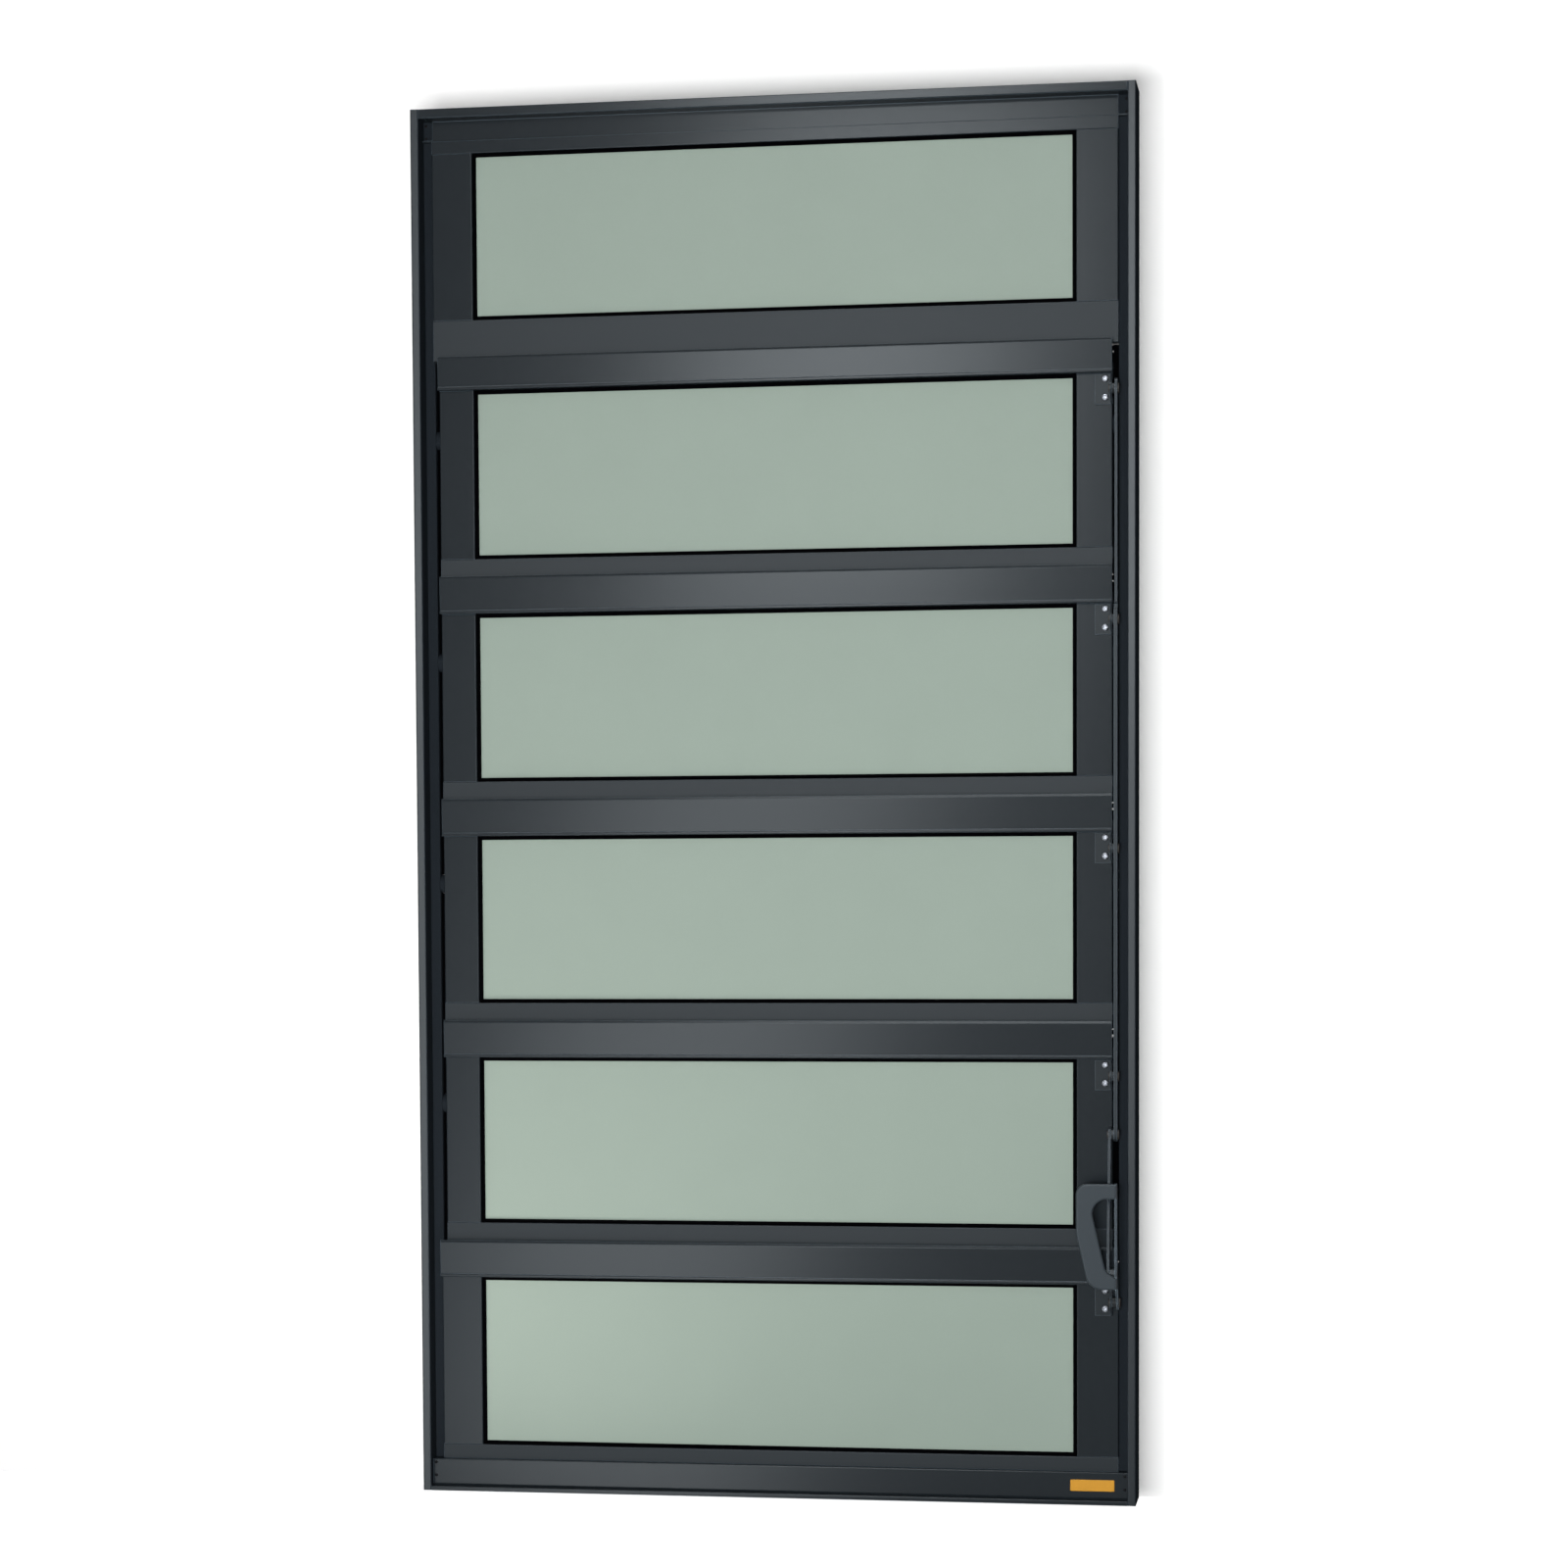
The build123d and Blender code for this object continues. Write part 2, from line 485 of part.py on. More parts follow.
def link_bar():
    """Upright bar that joins the four bracket pins, made of two lengths that meet above light 3."""
    upper_pin = (PIN_Y, link_pin_z(MOVING_LIGHTS[0]))
    front = PIN_Y - BAR_DEPTH / 2
    splice = link_pin_z(MOVING_LIGHTS[1]) + SPLICE_RISE
    side = link_face(BAR_END_PIN, upper_pin, BAR_DEPTH, BAR_BOTTOM_END, BAR_TOP_END)
    side -= outline(rectangle((front - PAST, splice), (front + SPLICE_DEPTH, splice + SPLICE_GAP)))
    side = round_corners(side, [(front, splice), (front, splice + SPLICE_GAP)], SPLICE_ROUND)
    bar = along_x(side, BAR_INNER, BAR_OUTER)
    step = outline(rectangle((front - PAST, splice + SPLICE_GAP),
                             (front + BAR_DEPTH + PAST, upper_pin[1] + BAR_TOP_END + PAST)))
    bar -= along_x(step, BAR_INNER - PAST, UPPER_BAR_INNER)
    for light in MOVING_LIGHTS:
        bar -= pin_hole(PIN_Y, link_pin_z(light), BAR_INNER, BAR_OUTER)
    return bar - pin_hole(*BAR_END_PIN, BAR_INNER, BAR_OUTER)


def connecting_link():
    """Short link from the bar's tail to the lever, with the pin that turns in the bar."""
    y, z = BAR_END_PIN
    side = link_face(CRANK_PIN, BAR_END_PIN, BAR_DEPTH, BAR_BOTTOM_END, BAR_BOTTOM_END)
    link = along_x(side, LINK_INNER, LINK_OUTER) - pin_hole(*CRANK_PIN, LINK_INNER, LINK_OUTER)
    link += pin(y, z, INNER_HEAD_DIAMETER, LINK_INNER - PIN_HEAD_THICKNESS, LINK_INNER)
    link += pin(y, z, COLLAR_DIAMETER, LINK_OUTER, BAR_INNER - LINK_PIN_CLEARANCE)
    pin_end = BAR_OUTER + LINK_PIN_CLEARANCE
    link += pin(y, z, LINK_PIN_DIAMETER, LINK_OUTER, pin_end)
    return link + pin(y, z, OUTER_HEAD_DIAMETER, pin_end, pin_end + PIN_HEAD_THICKNESS)


def grip(back, low):
    """C-shaped grip parallel to the window: an upright limb that leans in towards its foot."""
    left = LEVER_OUTER - GRIP_WIDTH
    high = low + GRIP_HEIGHT
    bend = low + GRIP_BEND_RISE
    arm = high - GRIP_TOP_ARM
    shoulder = low + GRIP_BOTTOM_ARM + GRIP_ARM_RISE

    def limb_inner(z):
        """Inner edge of the limb, parallel to its leaning outer edge."""
        return left + GRIP_LIMB + (bend - z) * GRIP_FOOT / GRIP_BEND_RISE

    foot = (left + GRIP_FOOT, low)
    inner_top = (limb_inner(arm), arm)
    inner_foot = (limb_inner(shoulder), shoulder)
    face = outline([(LEVER_OUTER, high), (left, high), (left, bend), foot, (LEVER_OUTER, low),
                    (LEVER_OUTER, low + GRIP_BOTTOM_ARM), inner_foot, inner_top, (LEVER_OUTER, arm)],
                   rounded=[(left, high)], radius=GRIP_TOP_ROUND)
    for corner, radius in ((foot, GRIP_FOOT_ROUND), ((left, bend), GRIP_BEND_ROUND),
                           (inner_top, GRIP_INNER_ROUND), (inner_foot, GRIP_ARM_ROUND)):
        face = round_corners(face, [corner], radius)
    upright = Plane(origin=(0, back, 0), x_dir=(1, 0, 0), z_dir=(0, -1, 0))
    plate = extrude(upright * face, GRIP_THICKNESS)
    return fillet(plate.faces().sort_by(Axis.Y)[0].edges(), GRIP_EDGE_ROUND)


def lever():
    """Lever: a side plate from its pivot past the crank pin, with the grip cast on its front edge."""
    pivot = (PIN_Y, LEVER_PIVOT_Z)
    back = PIN_Y - GRIP_FORWARD
    low = LEVER_PIVOT_Z + GRIP_BOTTOM
    high = low + GRIP_HEIGHT
    rear = back + LEVER_WIDTH
    foot = link_face(pivot, CRANK_PIN, LEVER_WIDTH, LEVER_WIDTH / 2, LEVER_WIDTH / 2)
    strip = outline([(back, low), (back, high), (rear, high), (rear, CRANK_PIN[1]),
                     (CRANK_PIN[0] + LEVER_WIDTH / 2, low)],
                    rounded=[(rear, high)], radius=LEVER_WIDTH / 2)
    body = along_x(foot + strip, LEVER_INNER, LEVER_OUTER) - pin_hole(*pivot, LEVER_INNER, LEVER_OUTER)
    body += grip(back, low)
    y, z = CRANK_PIN
    pin_end = LINK_INNER - LINK_PIN_CLEARANCE
    body += pin(y, z, COLLAR_DIAMETER, LINK_OUTER + LINK_PIN_CLEARANCE, LEVER_INNER)
    body += pin(y, z, LINK_PIN_DIAMETER, pin_end, LEVER_INNER)
    return body + pin(y, z, INNER_HEAD_DIAMETER, pin_end - PIN_HEAD_THICKNESS, pin_end)


def build():
    """Every node by name."""
    right_jamb = jamb()
    right_seal = side_seal()
    nodes = {
        "head": head(),
        "sill": sill(),
        "right_jamb": right_jamb,
        "left_jamb": mirrored(right_jamb),
        "right_seal": right_seal,
        "left_seal": mirrored(right_seal),
        "light_1_top_rail": channel_rail(sight_top(1), HEAD_EDGE, 1),
        "light_1_bottom_rail": boxed_rail(sight_bottom(1), TRANSOM_LOW, JAMB_EDGE),
        "light_6_top_rail": flanged_top_rail(6, JAMB_EDGE, RAIL_FACE),
        "light_6_bottom_rail": channel_rail(sight_bottom(6), SILL_HEIGHT, -1),
        "light_2_bracket": bracket(2, UPPER_BAR_INNER, BAR_OUTER),
        "light_6_bracket": bracket(6, LEVER_INNER, LEVER_OUTER),
        "link_bar": link_bar(),
        "connecting_link": connecting_link(),
        "lever": lever(),
    }
    for light in LIGHTS:
        nodes[f"light_{light}_stiles"] = side_pair(stile(light))
        nodes[f"light_{light}_glass"] = pane(light)
        nodes[f"light_{light}_gasket"] = gasket(light)
    for light in MOVING_LIGHTS:
        face = UPPER_RAIL_FACE if light == MOVING_LIGHTS[0] else RAIL_FACE
        nodes[f"light_{light}_top_rail"] = flanged_top_rail(light, SASH_EDGE, face)
        nodes[f"light_{light}_bottom_rail"] = bottom_rail(light)
    for light in MOVING_LIGHTS[1:]:
        nodes[f"light_{light}_bracket"] = bracket(light, BAR_INNER, BAR_OUTER)
    return nodes


def main():
    os.makedirs("parts", exist_ok=True)
    for name, shape in build().items():
        export_step(shape, f"parts/{name}.step")


main()
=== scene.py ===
"""Finishes, small fixings and studio of a six-light horizontal pivot window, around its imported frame."""

import json
import math

import bpy
import numpy as np
from bpy.props import FloatProperty, FloatVectorProperty, PointerProperty
from mathutils import Matrix, Vector


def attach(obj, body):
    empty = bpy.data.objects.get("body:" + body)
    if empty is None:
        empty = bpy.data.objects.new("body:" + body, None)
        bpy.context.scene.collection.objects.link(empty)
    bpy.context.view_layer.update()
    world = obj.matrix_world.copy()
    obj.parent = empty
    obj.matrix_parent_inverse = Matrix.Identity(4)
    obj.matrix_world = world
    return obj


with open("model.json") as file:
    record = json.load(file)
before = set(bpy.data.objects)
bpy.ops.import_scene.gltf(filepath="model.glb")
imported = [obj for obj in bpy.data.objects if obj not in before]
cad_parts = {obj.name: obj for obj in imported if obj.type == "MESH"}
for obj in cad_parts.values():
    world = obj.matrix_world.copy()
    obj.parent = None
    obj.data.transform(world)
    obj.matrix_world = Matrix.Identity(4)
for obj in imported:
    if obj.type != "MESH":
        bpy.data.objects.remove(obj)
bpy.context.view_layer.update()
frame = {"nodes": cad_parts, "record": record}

bl_info = {
    "name": "Horizontal pivot window",
    "version": (1, 0, 0),
    "blender": (4, 5, 0),
    "location": "View3D > Sidebar > Window",
    "description": "Powder coat, satin glass, rubber, small fixings and studio for a six-light pivot window",
    "category": "Object",
}

MM = 0.001

# Places in the frame, in millimetres
LIGHT_BODIES = {2: "light_2", 3: "light_3", 4: "light_4", 5: "light_5", 6: "frame"}
LINK_PINS = {2: 945.8, 3: 752.8, 4: 559.8, 5: 366.8, 6: 173.8}
PIN_Y = -20.0
PIVOT_HEIGHTS = (339.8, 532.8, 725.8, 918.8)
PIVOT_Y = 2.0
BOSS_RADIUS = 8.0
SASH_EDGE = 292.0
SEAL_ENDS = (207.0, 985.0)
SEAL_HALF = 1.0
LEVER_PINS = ((-20.0, 173.8), (-42.0, 200.8))
BAR_TAIL_PIN = (-20.0, 317.3)
PLATE_FRONT = -11.8
SILL_FACE = -15.0
NOTCH_FLOOR = -4.0
SCREW_X = 286.0
SCREWS_FROM_PIN = (9.3, -6.4)
HEAD_RIVETS = ((-303.4, 1189.0), (-303.4, 1178.6), (303.4, 1189.0), (303.4, 1178.6))
SILL_RIVETS = ((-302.8, 12.4), (-302.8, 23.8), (302.8, 12.4), (302.8, 23.8))
STICKER_CENTRE = (275.0, 15.6)

# Heads of screws and rivets: height in millimetres, turns in radians, rows as shares of the radius,
# slots as shares of the diameter
RIVET_HEIGHT = 0.7
SCREW_TURNS = {2: (0.35, 1.1), 3: (0.8, 0.15), 4: (0.5, 1.35), 5: (1.2, 0.6), 6: (0.2, 0.95)}
HEAD_COLUMNS = 64
HEAD_ROWS = np.concatenate([[0], np.linspace(0.04, 0.9, 24), 1 - 0.1 * np.linspace(0.8, 0, 7) ** 2, [0]])
CROWN_FALL = 0.3
SLOT_HALF_WIDTH = 0.105
SLOT_HALF_LENGTH = 0.31
SLOT_WALL = (0.75, 1.15)
RECESS_TAPER = 0.35

# Sticker: thickness in millimetres, rows as shares of the way out to the edge
STICKER_THICKNESS = 0.25
STICKER_COLUMNS = 120
STICKER_ROWS = np.concatenate([np.linspace(0, 0.96, 14), [0.98, 0.992, 1.0, 0.0]])
CORNER_POWER = 30
EDGE_ROLL = 0.975
RIPPLE_SHARE = 0.12
RIPPLE_TURN = 0.9

# Pile strips, in millimetres. A tuft wave has a height, radians per millimetre and a starting angle
PILE_COLUMNS = 14
PILE_STEP = 0.8
PILE_TIP = 0.09
PILE_ROOT = 0.9
PILE_SPREAD = 0.5
TUFT_WAVES = ((0.03, 2.9, 0.0), (0.02, 1.7, 1.0))
BOSS_CLEARANCE = 0.2

# Zones where painted shade darkens the coat, in millimetres: distances from the window's middle, and depths
SHADED_OUTER_SIDES = (((312.2, 320.0), (-60.0, 60.0)),)
SHADED_JAMB_RECESS = (((0.0, 305.6), (-60.0, 60.0)),)
SHADED_HEAD_RECESS = (((297.0, 320.0), (-6.5, 60.0)),)
SHADED_CUT_ENDS = (((291.95, 302.0), (-60.0, 60.0)),)
ZONE_EDGE = 0.1
# Dark colour painted as shade in these zones
PAINTED_SHADE_COAT = (0.013, 0.0165, 0.0205)
COOL_SHEEN = (0.89, 0.96, 1.0, 1.0)

# Coats of the extrusions: name, end of the nodes' names, roughness, gloss, zones of painted shade
COATS = (
    ("jamb", "jamb", 0.19, 0.13, SHADED_JAMB_RECESS),
    ("head", "head", 0.19, 0.13, SHADED_HEAD_RECESS),
    ("sill", "sill", 0.19, 0.13, ()),
    ("top_rail", "top_rail", 0.19, 0.13, ()),
    ("stile", "stiles", 0.2, 0.112, ()),
    ("bottom_rail", "bottom_rail", 0.4, 0.16, ()),
)
TURNING_LIGHTS = ("light_2", "light_3", "light_4", "light_5")

# Coats of the linkage
LINKAGE_ROUGHNESS = 0.3
LINKAGE_GLOSS = 0.16
BRACKET_GLOSS = 0.12
BRACKET_TONE = 0.75
LEVER_TONE = 1.8
PIN_HEAD_RADIUS = 4.45
PIN_HEAD_COLOUR = (0.03, 0.026, 0.023, 1.0)
RIVET_COLOUR = (0.003, 0.003, 0.0035)

# Studio, in metres and watts
STAGE_REACH = 4.0
STAGE_STEPS = 8
WALL_DEPTH = 0.17
WALL_FOOT = -1.0
FLOOR_EDGE = 0.026
FLOOR_GLOW = 0.78
WALL_GLOW = 0.256
SKY_LIGHT = 0.24
LAMPS = (
    dict(name="front_lamp", place=(0.28, -3.0, 0.395), aim=(0, 0, 0.6),
         width=0.52, height=0.28, power=87, in_gloss=False),
    dict(name="upper_strip", place=(-0.335, -3.0, 1.37), aim=(-0.335, 0, 1.37),
         width=0.56, height=1.14, power=34, lean=-9.0, in_matt=False),
    dict(name="lower_strip", place=(-0.64, -3.0, 0.075), aim=(-0.64, 0, 0.075),
         width=0.56, height=1.45, power=26, lean=-16.0, in_matt=False),
    dict(name="top_strip", place=(0.35, -2.2, 2.6), aim=(0.35, 0, 0.7),
         width=2.0, height=0.5, power=42, in_matt=False),
    dict(name="ceiling_lamp", place=(0, -0.25, 2.7), aim=(0, -0.25, 0),
         width=2.4, height=0.8, power=60, in_matt=False),
    dict(name="side_strip", place=(0.62, -3.0, 0.6), aim=(0.62, 0, 0.6),
         width=0.16, height=1.5, power=7, in_matt=False),
    dict(name="floor_bounce", place=(-0.6, -0.3, 0.002), aim=(-0.6, -0.2999, 1.0),
         width=1.0, height=0.3, power=3.3, in_gloss=False, colour=(1.0, 0.93, 0.9)),
    dict(name="back_lamp", place=(0.8, 2.6, 1.6), aim=(0, 0, 0.6),
         width=1.6, height=1.6, power=40, in_gloss=False),
)

# Camera, in metres, millimetres of sensor and lens, and degrees
CAMERA_PLACE = (0.4998, -3.0091, 0.5245)
CAMERA_YAW = 9.1277
CAMERA_PITCH = -2.9056
CAMERA_ROLL = -0.2657
CAMERA_SHIFT = (-0.0068, 0.1826)
CAMERA_LENS = 80.854
CAMERA_SENSOR = 36.0


# Meshes worked out on a grid

def add_object(name, data):
    """Puts new data into the scene as an object at the origin."""
    piece = bpy.data.objects.new(name, data)
    bpy.context.scene.collection.objects.link(piece)
    return piece


def patch(name, grids):
    """Makes one mesh of closed shells. Each grid is rows x columns x 3, in millimetres: columns wrap round,
    and the first and the last row are single points, which close the shell."""
    points, faces, start = [], [], 0
    for grid in grids:
        rows, columns = grid.shape[:2]
        ring = grid[1:-1].reshape(-1, 3)
        points.append(np.vstack([grid[0, :1], ring, grid[-1, :1]]))
        first = start + 1
        last = start + 1 + len(ring)
        column = np.arange(columns)
        following = (column + 1) % columns
        row = first + columns * np.arange(rows - 3)[:, None]
        quads = np.stack([row + column, row + columns + column, row + columns + following, row + following], -1)
        faces += quads.reshape(-1, 4).tolist()
        faces += np.stack([np.full(columns, start), first + column, first + following], -1).tolist()
        end = first + columns * (rows - 3)
        faces += np.stack([end + column, np.full(columns, last), end + following], -1).tolist()
        start += len(points[-1])
    mesh = bpy.data.meshes.new(name)
    mesh.from_pydata((np.vstack(points) * MM).tolist(), [], faces)
    mesh.validate()
    mesh.shade_smooth()
    return add_object(name, mesh)


def smooth_step(low, high, value):
    """Zero below low, one above high, and 3t squared less 2t cubed between them."""
    t = np.clip((value - low) / (high - low), 0, 1)
    return t * t * (3 - 2 * t)


def fixing_head(x, y, z, diameter, height, recess=0.0, turn=0.0):
    """A pan head seen from the front. Its height falls slowly with the square of the distance out, and near the
    rim with the square root of one less its sixth power. A cross of two slots is sunk into it, shallower
    outwards, its walls a smooth step of the distance to the nearer slot. Angle runs along the columns and
    distance out along the rows."""
    out = HEAD_ROWS
    angle = np.linspace(0, 2 * math.pi, HEAD_COLUMNS, endpoint=False)
    rise = height * (1 - CROWN_FALL * out ** 2) * np.sqrt(np.clip(1 - out ** 6, 0, 1))
    rise[-1] = 0
    across = out[:, None] * diameter / 2 * np.cos(angle)
    upward = out[:, None] * diameter / 2 * np.sin(angle)
    rise = np.repeat(rise[:, None], len(angle), 1)
    if recess:
        along = abs(across * math.cos(turn) + upward * math.sin(turn))
        aside = abs(upward * math.cos(turn) - across * math.sin(turn))
        lying = np.maximum(aside / SLOT_HALF_WIDTH, along / SLOT_HALF_LENGTH)
        standing = np.maximum(along / SLOT_HALF_WIDTH, aside / SLOT_HALF_LENGTH)
        sunk = 1 - smooth_step(*SLOT_WALL, np.minimum(lying, standing) / diameter)
        sunk[-1] = 0
        rise = rise - recess * sunk * (1 - RECESS_TAPER * out[:, None])
    return np.stack([x + across, y - rise, z + upward], -1)


def label_sheet(x, z, width, height, thickness):
    """A thin sheet on the sill. Its outline is a rectangle with rounded corners, a superellipse of the
    thirtieth power, drawn in towards the middle row by row. Its face ripples as a sine across times a cosine
    upwards, and its edge rolls down in a smooth step over the last fortieth."""
    out = STICKER_ROWS
    angle = np.linspace(0, 2 * math.pi, STICKER_COLUMNS, endpoint=False)
    reach = (abs(np.cos(angle)) ** CORNER_POWER + abs(np.sin(angle)) ** CORNER_POWER) ** (-1 / CORNER_POWER)
    across = out[:, None] * reach * np.cos(angle) * width / 2
    upward = out[:, None] * reach * np.sin(angle) * height / 2
    ripple = 1 + RIPPLE_SHARE * np.sin(across * RIPPLE_TURN) * np.cos(upward)
    lift = thickness * (1 - smooth_step(EDGE_ROLL, 1.0, out))[:, None] * ripple
    lift[-1] = 0
    return np.stack([x + across, SILL_FACE - lift, z + upward], -1)


def pile_strip(side, low, high):
    """An upright strip of pile on the seal's edge. Its section is a superellipse of the fourth power, and its
    tip waves along the height as two sines added, so that the fibres stand in uneven tufts. The last rows
    at both ends draw in to a point."""
    height = np.concatenate([[low], np.linspace(low, high, int((high - low) / PILE_STEP)), [high]])
    angle = np.linspace(0, 2 * math.pi, PILE_COLUMNS, endpoint=False)
    tuft = sum(swing * np.sin(height * turn + start) for swing, turn, start in TUFT_WAVES)
    tip = SASH_EDGE + PILE_TIP + tuft[:, None]
    root = SASH_EDGE + PILE_ROOT
    reach = (np.cos(angle) ** 4 + np.sin(angle) ** 4) ** -0.25
    across = (tip + root) / 2 + (root - tip) / 2 * reach * np.cos(angle)
    forward = PIVOT_Y + (SEAL_HALF + PILE_SPREAD) * reach * np.sin(angle) + 0 * tip
    upright = height[:, None] + 0 * angle
    across[[0, -1]] = root
    forward[[0, -1]] = PIVOT_Y
    grid = np.stack([side * across, forward, upright], -1)
    return grid[:, ::-1] if side > 0 else grid


def stage_sheet(name, corner, across, along):
    """A flat sheet of the studio, in metres: a corner plus even steps along each of two edges."""
    steps = np.linspace(0, 1, STAGE_STEPS + 1)
    u, v = np.meshgrid(steps, steps, indexing="ij")
    grid = np.array(corner) + u[..., None] * np.array(across) + v[..., None] * np.array(along)
    index = np.arange(u.size).reshape(u.shape)
    faces = np.stack([index[:-1, :-1], index[1:, :-1], index[1:, 1:], index[:-1, 1:]], -1)
    mesh = bpy.data.meshes.new(name)
    mesh.from_pydata(grid.reshape(-1, 3).tolist(), [], faces.reshape(-1, 4).tolist())
    return add_object(name, mesh)


# Shader maths

class Wire:
    """An output socket of a finish. Sums and products of wires and numbers add Math nodes."""

    def __init__(self, finish, socket):
        self.finish = finish
        self.socket = socket

    def math(self, operation, first, second, clamp=False):
        settings = {"operation": operation, "use_clamp": clamp}
        return self.finish.node("ShaderNodeMath", settings, {0: first, 1: second})

    def __add__(self, other):
        return self.math("ADD", self, other)

    def __sub__(self, other):
        return self.math("SUBTRACT", self, other)

    def __mul__(self, other):
        return self.math("MULTIPLY", self, other)

    def __rsub__(self, other):
        return self.math("SUBTRACT", other, self)

    def __pow__(self, other):
        return self.math("POWER", self, other)

    def clamp(self):
        return self.math("ADD", self, 0.0, clamp=True)

    def size(self):
        return self.math("ABSOLUTE", self, 0.0)

    def greatest(self, other):
        return self.math("MAXIMUM", self, other)

    __radd__ = __add__
    __rmul__ = __mul__


class Finish:
    """A node tree under construction, of a material or of the world."""

    def __init__(self, owner):
        self.owner = owner
        owner.use_nodes = True
        self.tree = owner.node_tree
        self.tree.nodes.clear()

    def node(self, kind, settings=None, values=None, output=0):
        """Adds a node: its settings first, then the values or links of its sockets, and returns one output."""
        node = self.tree.nodes.new(kind)
        for name, value in (settings or {}).items():
            setattr(node, name, value)
        for key, value in (values or {}).items():
            if isinstance(value, Wire):
                self.tree.links.new(value.socket, node.inputs[key])
            else:
                node.inputs[key].default_value = value
        return Wire(self, node.outputs[output]) if len(node.outputs) else None

    def place(self):
        return self.node("ShaderNodeTexCoord", output="Object")

    def noise(self, place, scale, detail=2.0, roughness=0.5):
        values = {"Vector": place, "Scale": scale, "Detail": detail, "Roughness": roughness}
        return self.node("ShaderNodeTexNoise", {}, values)

    def mix(self, share, first, second):
        return self.node("ShaderNodeMix", {"data_type": "RGBA"}, {0: share, 6: first, 7: second}, output=2)

    def either(self, share, first, second):
        """The first shader where the share is zero, the second where it is one."""
        return self.node("ShaderNodeMixShader", {}, {0: share, 1: first, 2: second})

    def part(self, vector, axis):
        return self.node("ShaderNodeSeparateXYZ", {}, {0: vector}, output=axis)

    def dot(self, first, second):
        settings = {"operation": "DOT_PRODUCT"}
        return self.node("ShaderNodeVectorMath", settings, {0: first, 1: second}, output="Value")

    def band(self, value, low, high):
        """Zero to one as the value goes from low to high, smoothly."""
        values = {"Value": value, "From Min": low, "From Max": high}
        return self.node("ShaderNodeMapRange", {"interpolation_type": "SMOOTHSTEP"}, values)

    def bump(self, height, strength, distance, normal=None):
        """A small relief, its distance in millimetres."""
        values = {"Strength": strength, "Distance": distance * MM, "Height": height}
        if normal is not None:
            values["Normal"] = normal
        return self.node("ShaderNodeBump", {}, values)

    def disc(self, place, y, z, radius):
        """One within a radius, in millimetres, of an axis that runs across the window."""
        forward = self.part(place, "Y") - y * MM
        upward = self.part(place, "Z") - z * MM
        away = (forward * forward + upward * upward) ** 0.5
        return 1 - self.band(away, (radius - ZONE_EDGE) * MM, (radius + ZONE_EDGE) * MM)

    def zone(self, place, across, depth):
        """One between two distances from the window's middle and between two depths, in millimetres."""
        masks = []
        for value, (low, high) in ((self.part(place, "X").size(), across), (self.part(place, "Y"), depth)):
            inside = self.band(value, (low - ZONE_EDGE) * MM, low * MM)
            masks.append(inside * (1 - self.band(value, high * MM, (high + ZONE_EDGE) * MM)))
        return masks[0] * masks[1]

    def surface(self, **values):
        named = {name.replace("_", " "): value for name, value in values.items()}
        return self.node("ShaderNodeBsdfPrincipled", {}, named)

    def end(self, shader, kind="ShaderNodeOutputMaterial"):
        self.node(kind, {}, {"Surface": shader})
        return self.owner


def rgba(colour, gain=1.0):
    return (*(min(1.0, channel * gain) for channel in colour), 1.0)


# Finishes

def powder_coat(name, colour, roughness, gloss, pins=(), shaded_zones=SHADED_OUTER_SIDES):
    """Semi-gloss powder coat: slow tone drift, faint orange peel and a painted highlight along the edges. Round
    the pins are dark heads.
    In the shaded zones, such as outer sides, recesses and cut ends, a dark matt coat is painted in as shade."""
    finish = Finish(bpy.data.materials.new(name))
    place = finish.place()
    drift = finish.noise(place, scale=5.0)
    mottle = finish.noise(place, scale=260.0)
    peel = finish.noise(place, scale=1400.0)
    rounded = finish.node("ShaderNodeBevel", {"samples": 6}, {"Radius": 0.9 * MM}, output="Normal")
    flat = finish.node("ShaderNodeNewGeometry", output="True Normal")
    edge_highlight = finish.band(1 - finish.dot(rounded, flat), low=0.008, high=0.11)
    tone = (drift * 0.5 + mottle * 0.5).clamp()
    shade = finish.mix(tone, rgba(colour, 0.93), rgba(colour, 1.08))
    # Painted highlight: the colour nine times paler along rounded edges, where light catches them
    shade = finish.mix(edge_highlight * 0.8, shade, rgba(colour, 9.0))
    for y, z in pins:
        shade = finish.mix(finish.disc(place, y, z, PIN_HEAD_RADIUS), shade, PIN_HEAD_COLOUR)
    normal = finish.bump(peel, strength=0.12, distance=0.05, normal=rounded)
    coat = finish.surface(Base_Color=shade, Roughness=roughness + (mottle - 0.5) * 0.06,
                          Specular_IOR_Level=gloss, Specular_Tint=COOL_SHEEN, Normal=normal)
    # Painted shade: a dark matt coat in the outer sides, recesses and cut ends, where shade falls
    thin = finish.mix(tone, rgba(PAINTED_SHADE_COAT, 0.85), rgba(PAINTED_SHADE_COAT, 1.15))
    matt = finish.surface(Base_Color=thin, Roughness=0.9, Specular_IOR_Level=0.0, Normal=normal)
    shade_mask = finish.zone(place, *shaded_zones[0])
    for limits in shaded_zones[1:]:
        shade_mask = shade_mask.greatest(finish.zone(place, *limits))
    return finish.end(finish.either(shade_mask, coat, matt))


def satin_glass(name, colour):
    """Satin obscured glass: grey-green body with a very fine mottle and a soft sheen."""
    finish = Finish(bpy.data.materials.new(name))
    place = finish.place()
    grain = finish.noise(place, scale=900.0, detail=3.0, roughness=0.6)
    cloud = finish.noise(place, scale=14.0)
    tone = (grain * 0.6 + cloud * 0.4).clamp()
    body = finish.mix(tone, rgba(colour, 0.94), rgba(colour, 1.06))
    normal = finish.bump(grain, strength=0.2, distance=0.03)
    return finish.end(finish.surface(Base_Color=body, Roughness=0.5 + (grain - 0.5) * 0.12, Alpha=0.9,
                                     Specular_IOR_Level=0.2, Normal=normal))


